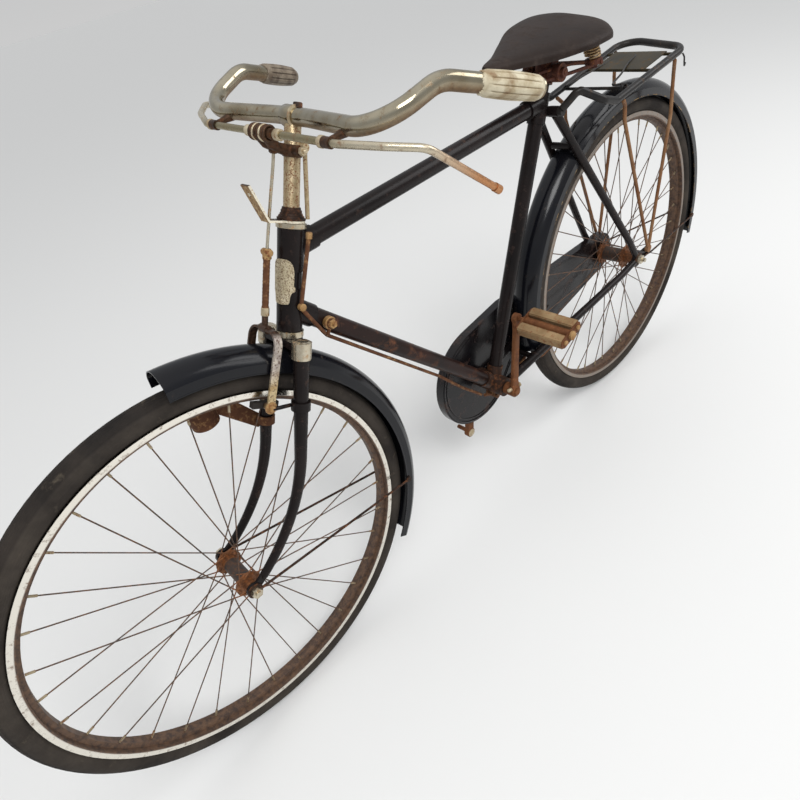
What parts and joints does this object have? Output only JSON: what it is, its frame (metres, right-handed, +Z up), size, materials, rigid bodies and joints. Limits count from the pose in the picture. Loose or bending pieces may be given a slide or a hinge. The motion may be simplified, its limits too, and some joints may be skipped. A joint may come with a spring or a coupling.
{
  "type": "roadster bicycle",
  "caption": "Old roadster bicycle with rod brakes, full chain case, spring leather saddle, long mudguards, bottle dynamo and a tubular rear carrier.",
  "frame": {"origin": "middle of the saddle's top, where the rider sits", "axes": "+X ahead, +Y to the bicycle's left, +Z up"},
  "size_m": [1.8914, 0.5214, 0.9902],
  "materials": {
    "frame_enamel": "worn satin",
    "guard_enamel": "gloss",
    "case_enamel": "worn satin",
    "rusty_chrome": "pitted",
    "bright_metal": "polished",
    "rusty_steel": "rusty",
    "carrier_steel": "worn",
    "axle_steel": "dull",
    "tyre": "dusty",
    "block_rubber": "matt",
    "pedal_rubber": "worn",
    "left_grip": "worn",
    "right_grip": "worn",
    "saddle_leather": "worn",
    "badge": "dull"
  },
  "bodies": {
    "frame": {"head_tube": "frame_enamel", "head_cups": "bright_metal", "head_badge": "badge", "top_tube": "frame_enamel", "down_tube": "frame_enamel", "seat_tube": "frame_enamel", "seat_lug": "frame_enamel", "bottom_bracket": "frame_enamel", "chain_stays": "frame_enamel", "seat_stays": "frame_enamel", "stay_bridges": "frame_enamel", "seat_post": "rusty_chrome", "saddle_clip": "rusty_steel", "saddle_rails": "rusty_steel", "saddle_springs": "rusty_steel", "saddle_cover": "saddle_leather", "rear_mudguard": "guard_enamel", "rear_guard_stays": "rusty_steel", "rear_axle": "axle_steel", "chain_case": "case_enamel", "carrier_hoop": "carrier_steel", "carrier_plate": "carrier_steel", "carrier_struts": "carrier_steel", "rear_brake_linkage": "rusty_steel", "rear_brake_stirrup": "rusty_steel", "rear_brake_blocks": "block_rubber"},
    "steering": {"fork_crown": "frame_enamel", "crown_caps": "bright_metal", "fork_blade_left": "frame_enamel", "fork_blade_right": "frame_enamel", "headset_nut": "rusty_chrome", "lamp_bracket": "bright_metal", "stem": "rusty_chrome", "handlebar": "rusty_chrome", "grip_left": "left_grip", "grip_right": "right_grip", "lever_left": "rusty_chrome", "lever_right": "rusty_chrome", "lever_mounts": "rusty_chrome", "front_brake_rod": "rusty_steel", "front_brake_stirrup": "rusty_steel", "front_brake_blocks": "block_rubber", "fork_clips": "rusty_steel", "front_guard_stays": "rusty_steel", "front_mudguard": "guard_enamel", "dynamo": "rusty_steel", "front_axle": "axle_steel", "rear_brake_upper_rod": "rusty_steel"},
    "front_wheel": {"front_tyre": "tyre", "front_rim": "rusty_chrome", "front_hub": "rusty_steel"},
    "rear_wheel": {"rear_tyre": "tyre", "rear_rim": "rusty_chrome", "rear_hub": "rusty_steel"},
    "crank": {"crank_left": "rusty_steel", "crank_right": "rusty_steel"},
    "left_pedal": {"pedal_cage_left": "rusty_steel", "pedal_rubbers_left": "pedal_rubber"}
  },
  "joints": [
    {"name": "steering_turn", "type": "hinge", "parent": "frame", "child": "steering", "pos_m": [0.63954, 0, -0.1515], "axis": [-0.4147, 0, 0.91], "range_deg": [-45, 45]},
    {"name": "front_wheel_spin", "type": "hinge", "parent": "steering", "child": "front_wheel", "pos_m": [0.918, 0, -0.5455], "axis": [0, 1, 0], "continuous": true},
    {"name": "rear_wheel_spin", "type": "hinge", "parent": "frame", "child": "rear_wheel", "pos_m": [-0.22939, 0, -0.5455], "axis": [0, 1, 0], "continuous": true},
    {"name": "crank_spin", "type": "hinge", "parent": "frame", "child": "crank", "pos_m": [0.268, 0, -0.6055], "axis": [0, 1, 0], "continuous": true},
    {"name": "left_pedal_spin", "type": "hinge", "parent": "crank", "child": "left_pedal", "pos_m": [0.23594, 0.13, -0.44059], "axis": [0, 1, 0], "continuous": true}
  ]
}
